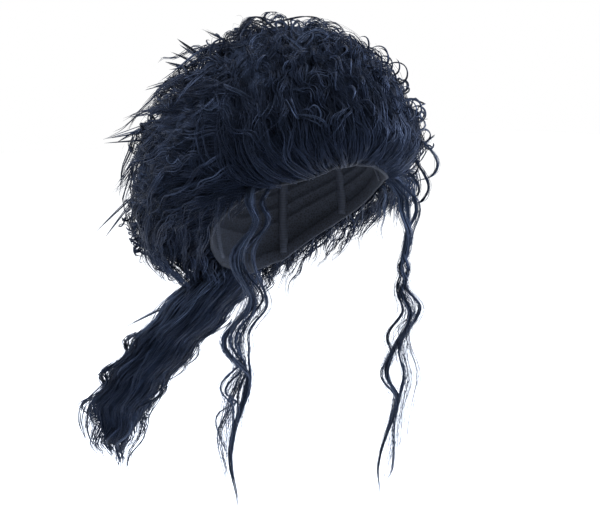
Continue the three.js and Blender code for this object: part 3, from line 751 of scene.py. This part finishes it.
def tail_locks(
    rng, locks, top, run, out, strands, points,
    turn=(0, 360), swing=(2, 4), thick=0.42, spread=4.0, loose=0.3, keep=0.85, tone=0.38, crimp=TAIL_CRIMP,
):
    """Strands of the ponytail in locks. The crimp is pressed in across the hank, so neighbours wave alike."""
    t = np.linspace(0, 1, points)

    def draw(limits):
        return rng.uniform(min(limits), max(limits), (locks, 1))

    start = draw(top)
    end = np.maximum(start - draw(run), TAIL["level"][-1] + draw(TAIL_END))
    level = start + (end - start) * t
    around = np.radians(np.linspace(*turn, locks, endpoint=False))[:, None]
    around = around + rng.normal(0, TAIL_LOOSE["turn"], (locks, 1)) * t
    far = draw(out)
    base = in_tail(level, around, far)
    side = unit(in_tail(level, around + 0.1, far) - in_tail(level, around - 0.1, far))
    outward = unit(in_tail(level, around, far + 0.1) - base)
    own = (locks, strands, 1)
    phase = 2 * np.pi * level / crimp + TAIL_WAVE["lag"] * np.sin(around)
    phase = phase + rng.normal(0, TAIL_LOOSE["phase"], (locks, 1))
    phase = phase[:, None] + rng.normal(0, loose, own)
    size = draw(swing)[:, None] * (1 + rng.normal(0, loose / 2, own))
    spin = rng.uniform(0, 2 * np.pi, own)
    fan = spread * np.sqrt(rng.uniform(0, 1, own)) * (1 - TAIL_GATHER * t**2)
    sideways = TAIL_WAVE["flat"] * size * np.sin(phase) + fan * np.cos(spin)
    lift = size * np.cos(phase) + fan * np.sin(spin)
    path = base[:, None] + side[:, None] * sideways[..., None] + outward[:, None] * lift[..., None]
    return fibre(rng, trim(path, rng.uniform(keep, 1, own)), thick, tone)


core_turns = np.linspace(0, 2 * np.pi, CORE_COLUMNS, endpoint=False)
core_rings = []

# Eleven ridges sway down the core, and a weaker set runs between them.
for level in np.linspace(CORE_TOP, CORE_END, CORE_ROWS):
    ridge = np.sin(11 * core_turns + 2.5 * np.sin(level / 7)) + 0.6 * np.sin(17 * core_turns + level / 9)
    past = max((CORE_NARROWS - level) / (CORE_NARROWS - CORE_END), 0)
    narrow = math.sqrt(max(1 - past**2, 0.01))
    out = (CORE_SHARE + CORE_RIDGE * ridge) * narrow
    core_rings.append(in_tail(np.full(CORE_COLUMNS, level), core_turns, out))
core_top = np.arange(CORE_COLUMNS)[None, ::-1]
core_bottom = np.arange(CORE_COLUMNS)[None, :] + (CORE_ROWS - 1) * CORE_COLUMNS
core_faces = [ring_faces(CORE_ROWS, CORE_COLUMNS), core_top, core_bottom]
tail_core = mesh_object("ponytail_core", np.concatenate(core_rings), core_faces, mat_fibre)
dress(tail_core, "hair", "ponytail")

rng = np.random.default_rng(16)
tail_groups = [
    tail_locks(rng, 36, (-140, -156), (170, 228), (0.78, 1.0), strands=5, points=36),
    tail_locks(rng, 48, (-150, -290), (60, 110), (0.78, 1.04), strands=6, points=19),
    tail_locks(rng, 18, (-175, -310), (34, 56), (1.0, 1.1), strands=5, points=18,
               swing=(5, 8), spread=2.0, loose=0.1),
    tail_locks(rng, 7, (-198, -265), (45, 75), (1.02, 1.14), strands=5, points=24,
               turn=(140, 170), swing=(6, 9), spread=4.0, loose=0.2),
    tail_locks(rng, 4, (-262, -276), (64, 84), (1.0, 1.1), strands=5, points=20,
               turn=(135, 175), swing=(6, 8), spread=4.0, loose=0.15, crimp=100.0),
    tail_locks(rng, 22, (-285, -318), (50, 80), (0.05, 1.0), strands=6, points=14),
    # These locks round the top of the ponytail take a pale tone: a painted highlight along its top.
    tail_locks(rng, 16, (-146, -172), (46, 74), (1.0, 1.14), strands=6, points=15,
               turn=(110, 250), tone=0.66),
    tail_locks(rng, 30, (-150, -250), (80, 130), (1.0, 1.15), strands=1, points=20, thick=0.13),
]
stiff_root = in_tail(TAIL_WISP["level"], math.radians(TAIL_WISP["angle"]), TAIL_WISP["out"])[None]
tail_groups.append(straight_wisp(rng, stiff_root, stiff_root + TAIL_WISP["reach"]))
tail = strand_piece("ponytail_strands", tail_groups, hair_fibre)
dress(tail, "hair", "ponytail")

# Tendrils: one thin lock left out at each front corner of the edge, which hangs free in long loose waves. It
# divides into a main lock, finer ones that twine round the line it hangs along, and veils of single fibres.
# Above the left one some short locks turn out in open loops.
SWING_COLUMNS = [("level", float), ("side", float)]

# A lock has its radius, its count of strands, and the places where it turns, each a level and a distance to
# the side of the line it hangs along.
TENDRILS = {
    "right": {
        "hang": [(-57, -68, -36), (-78, -86, -40), (-110, -88, -41), (-160, -88, -36), (-240, -91, -23),
                 (-340, -90, -20)],
        "locks": [
            (2.7, 32, [(-57, -8), (-64, -7), (-92, 8), (-123, -12), (-163, 8), (-198, -14), (-230, 12),
                       (-302, -3), (-350, 4)]),
            (1.2, 11, [(-57, 6), (-64, 10), (-73, 8), (-89, 19), (-124, -4), (-159, 16), (-196, -4),
                       (-224, 9), (-250, 4), (-318, -2)]),
            (0.9, 8, [(-57, 5), (-63, 10), (-71, 9), (-90, 17), (-119, 4), (-166, 20), (-192, 7),
                      (-206, 9), (-236, 14), (-290, 0)]),
            (1.1, 11, [(-57, -7), (-92, 6), (-122, -6), (-162, 5), (-197, -8), (-217, 3), (-240, -12),
                       (-258, 0), (-322, -4)]),
            (1.1, 10, [(-57, -6), (-93, 7), (-125, -8), (-165, 10), (-199, 0), (-222, 5), (-244, -8),
                       (-253, 3), (-267, -16), (-312, -3)]),
            (2.4, 9, [(-226, 6), (-256, -3), (-284, -13), (-326, -6)]),
        ],
        "veils": [(6, 26, [(-150, 4), (-196, -4), (-230, 2), (-262, -8), (-320, -4)])],
    },
    "left": {
        "hang": [(-58, 68, -36), (-80, 85, -45), (-150, 87, -45), (-200, 87, -40), (-270, 87, -25),
                 (-368, 85, -9)],
        "locks": [
            (2.4, 26, [(-58, 0), (-90, -4), (-116, 3), (-131, 1), (-145, -6), (-158, 0), (-166, -4),
                       (-188, 6), (-245, -9), (-272, 5), (-338, -5), (-372, 0)]),
            (1.6, 13, [(-58, 6), (-92, 10), (-116, 0), (-131, -3), (-146, 2), (-158, -2), (-183, 15),
                       (-222, 0), (-250, 8), (-296, 5), (-340, 9), (-368, 2)]),
            (1.1, 9, [(-58, 0), (-100, 2), (-122, 4), (-136, -4), (-150, -5), (-164, -8), (-186, -1),
                      (-211, -13), (-226, -7), (-247, -14), (-270, 2), (-330, -2)]),
        ],
        "veils": [
            (2, 14, [(-58, 4), (-92, 12), (-118, 4), (-136, -3), (-148, 1), (-160, -2), (-180, 10), (-205, 6),
                     (-253, 21), (-294, 17), (-322, 18), (-360, 8)]),
            (3, 16, [(-160, -4), (-186, 6), (-208, -4)]),
            (6, 30, [(-200, 0), (-225, 4), (-250, 12), (-290, 9), (-362, 4)]),
        ],
    },
}
LOOPS_HANG = [(-12, 82, -42), (-100, 86, -45)]
LEFT_LOOPS = [
    (1.2, 10, [(-14, 4), (-24, 14), (-35, 25), (-45, 31), (-55, 30), (-62, 23), (-65, 12), (-70, 4)]),
    (1.2, 10, [(-34, 2), (-45, 10), (-57, 18), (-68, 22), (-77, 20), (-84, 15), (-85, 9), (-80, 5)]),
    (1.1, 8, [(-30, -2), (-38, 6), (-46, 13), (-54, 13), (-60, 8), (-61, 2), (-56, -1)]),
    (1.0, 7, [(-52, -2), (-60, 8), (-69, 13), (-77, 12), (-83, 6), (-92, 2)]),
    (0.9, 6, [(-36, 8), (-31, 19), (-27, 25), (-22, 30)]),
]
LOOP_STRAY_WIDTH = 1.5


def tendril_lock(rng, hang, radius, count, rows, points, thick, loose, keep, tone):
    """Strands of one lock of a tendril, which swings from one turn to the next like a loose helix."""
    swings = np.array(rows, dtype=SWING_COLUMNS)
    level = np.linspace(swings["level"][0], swings["level"][-1], points)
    part = np.interp(-level, -swings["level"], np.arange(len(swings)))
    before = np.minimum(part.astype(int), len(swings) - 2)
    step = swings["side"][before + 1] - swings["side"][before]
    side = swings["side"][before] + step * (1 - np.cos(np.pi * (part - before))) / 2
    deep = step / 2 * np.sin(np.pi * (part - before))
    return strands_about(rng, hang, level, side, deep, radius, count, thick, loose, keep, tone)


tendril = {"thick": 0.4, "loose": 0.5, "keep": 0.92, "tone": 0.53}
tendril_stray = {"thick": 0.2, "loose": 6.5, "keep": 0.75, "tone": 0.53}
veil = {"thick": 0.17, "loose": 3.0, "keep": 0.85, "tone": 0.53}
loop = {"thick": 0.4, "loose": 0.5, "keep": 0.92, "tone": 0.45}
loop_stray = {"count": 9, "thick": 0.17, "loose": 2.5, "keep": 0.8, "tone": 0.45}
for side, seed in (("right", 17), ("left", 18)):
    rng = np.random.default_rng(seed)
    tendril_groups = []
    hang = np.array(TENDRILS[side]["hang"], dtype=HANG_COLUMNS)
    for radius, count, rows in TENDRILS[side]["locks"]:
        points = 6 * len(rows) + 6
        stray_count, stray_points = count // 2 + 9, points // 2 + 6
        tendril_groups += [
            tendril_lock(rng, hang, radius, count, rows, points, **tendril),
            tendril_lock(rng, hang, radius + STRAY_WIDTH, stray_count, rows, stray_points, **tendril_stray),
        ]
    for radius, count, rows in TENDRILS[side]["veils"]:
        tendril_groups.append(tendril_lock(rng, hang, radius, count, rows, points=4 * len(rows) + 4, **veil))
    if side == "left":
        hang = np.array(LOOPS_HANG, dtype=HANG_COLUMNS)
        for radius, count, rows in LEFT_LOOPS:
            wide = radius + LOOP_STRAY_WIDTH
            tendril_groups += [
                open_loop(rng, hang, radius, count, rows, points=4 * len(rows), **loop),
                open_loop(rng, hang, wide, rows=rows, points=3 * len(rows), **loop_stray),
            ]
    tendril_piece = strand_piece(f"tendril_{side}_strands", tendril_groups, hair_fibre)
    dress(tendril_piece, "hair", f"tendril_{side}")

# Studio: a wide pale floor below the wig, white surroundings, a soft light overhead, and two cool soft lamps,
# one behind on the right and one in front on the left. Lamps and camera are placed in metres.
FLOOR_LEVEL = -460.0
FLOOR_HALF = 6000.0
FLOOR_GRAIN = 25.0
FLOOR_PAINT = "#f4f5f6"
SURROUNDINGS = "#ffffff"
LAMP = "#d8e6ff"
LAMP_SIZE = 1.2
LAMP_AIM = (0, 0.03, -0.05)

# Matt white paint, rolled on: it has a soft unevenness of about 25 mm in how it scatters the light.
floor_paint, tree = new_material("matt_white_paint")
place = add_node(tree, "ShaderNodeTexCoord").outputs["Object"]
grain = add_node(tree, "ShaderNodeTexNoise", {"Scale": 1000 / FLOOR_GRAIN, "Detail": 3.0}, Vector=place)
floor_rough = add_node(tree, "ShaderNodeMapRange", {"To Min": 0.7, "To Max": 0.9}, Value=grain.outputs["Fac"])
floor_shader = add_node(
    tree, "ShaderNodeBsdfPrincipled",
    {"Base Color": linear(FLOOR_PAINT)}, Roughness=floor_rough.outputs["Result"],
)
add_node(tree, "ShaderNodeOutputMaterial", Surface=floor_shader.outputs["BSDF"])
floor_points = np.array([(-1, -1), (1, -1), (1, 1), (-1, 1)]) * FLOOR_HALF
floor_points = np.column_stack([floor_points, np.full(4, FLOOR_LEVEL)])
floor = mesh_object("floor", floor_points, [np.arange(4)[None, :]], floor_paint)

scene = bpy.context.scene
scene.view_settings.view_transform = "Standard"
world = bpy.data.worlds.new("white_studio")
scene.world = world
world.use_nodes = True
world.node_tree.nodes["Background"].inputs["Color"].default_value = linear(SURROUNDINGS)
world.node_tree.nodes["Background"].inputs["Strength"].default_value = 1.0


def add_light(name, kind, place, aim, energy, **settings):
    """A light at a place that shines at a point."""
    data = bpy.data.lights.new(name, kind)
    data.energy = energy
    for key, value in settings.items():
        setattr(data, key, value)
    light = bpy.data.objects.new(name, data)
    scene.collection.objects.link(light)
    light.location = place
    direction = np.array(aim) - np.array(place)
    yaw = math.atan2(direction[1], direction[0])
    pitch = math.acos(direction[2] / np.linalg.norm(direction))
    light.rotation_euler = (pitch + math.pi, 0, yaw + math.pi / 2)


lamp = {"size": LAMP_SIZE, "color": linear(LAMP)[:3]}
add_light("overhead", "SUN", (0.2, -0.3, 2.5), (0, 0, 0), 0.7, angle=math.radians(60))
add_light("side_right", "AREA", (-1.3, 1.05, 1.6), LAMP_AIM, 80, **lamp)
add_light("side_left", "AREA", (1.5, -1.1, 0.4), LAMP_AIM, 88, **lamp)

# Camera: the photograph's angle, from in front of the wearer's right and a little above, on a long lens that
# is aimed at the middle of the wig.
CAMERA_TURN = -36.0
CAMERA_RISE = 7.0
CAMERA_DISTANCE = 1.6
CAMERA_AIM = (-0.0015, 0.0011, -0.130)
CAMERA_LENS = 104.9
SENSOR_WIDTH = 36.0
turn, rise = math.radians(CAMERA_TURN), math.radians(CAMERA_RISE)
towards = np.array([math.sin(turn) * math.cos(rise), -math.cos(turn) * math.cos(rise), math.sin(rise)])
camera_data = bpy.data.cameras.new("camera")
camera_data.lens = CAMERA_LENS
camera_data.sensor_width = SENSOR_WIDTH
camera = bpy.data.objects.new("camera", camera_data)
scene.collection.objects.link(camera)
camera.location = np.array(CAMERA_AIM) + towards * CAMERA_DISTANCE
camera.rotation_euler = (math.pi / 2 - rise, 0, turn)
scene.camera = camera
